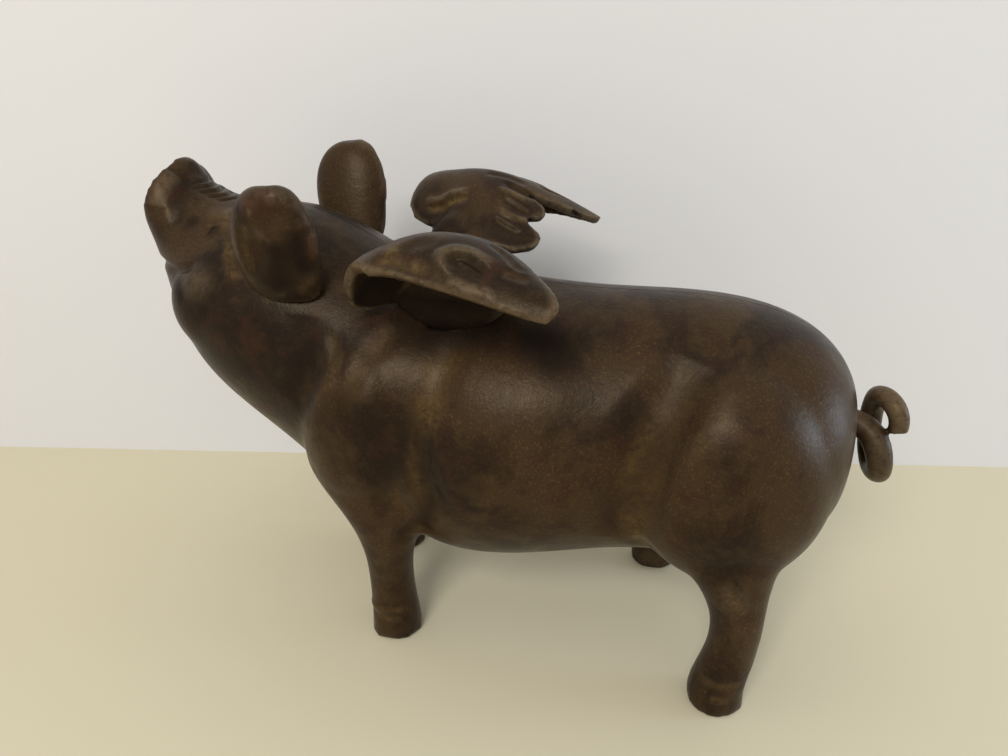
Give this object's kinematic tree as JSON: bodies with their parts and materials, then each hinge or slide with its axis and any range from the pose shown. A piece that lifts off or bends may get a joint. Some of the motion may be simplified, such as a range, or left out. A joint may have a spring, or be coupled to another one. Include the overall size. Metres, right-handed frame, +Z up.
{
  "type": "pig figurine",
  "caption": "Cast winged pig ornament with raised head, upright ears, corkscrew tail and hollow screwed body halves, standing on its hooves.",
  "frame": {"origin": "on the ground plane under the middle of the figure's bounding box", "axes": "+X from snout to tail, +Y to the pig's right, +Z up"},
  "size_m": [0.2752, 0.1332, 0.1802],
  "materials": {
    "cast_iron_patina": "dark brown patina on sand-cast iron, rubbed rust and ochre in creases and on edges, satin",
    "screw_steel": "dull zinc-plated steel"
  },
  "bodies": {
    "root": {"body_left_half": "cast_iron_patina", "body_right_half": "cast_iron_patina", "left_ear": "cast_iron_patina", "right_ear": "cast_iron_patina", "left_wing": "cast_iron_patina", "right_wing": "cast_iron_patina", "tail": "cast_iron_patina", "body_screws": "screw_steel", "wing_screws": "screw_steel", "wing_washers": "screw_steel", "ear_screws": "screw_steel", "ear_washers": "screw_steel"}
  },
  "joints": []
}
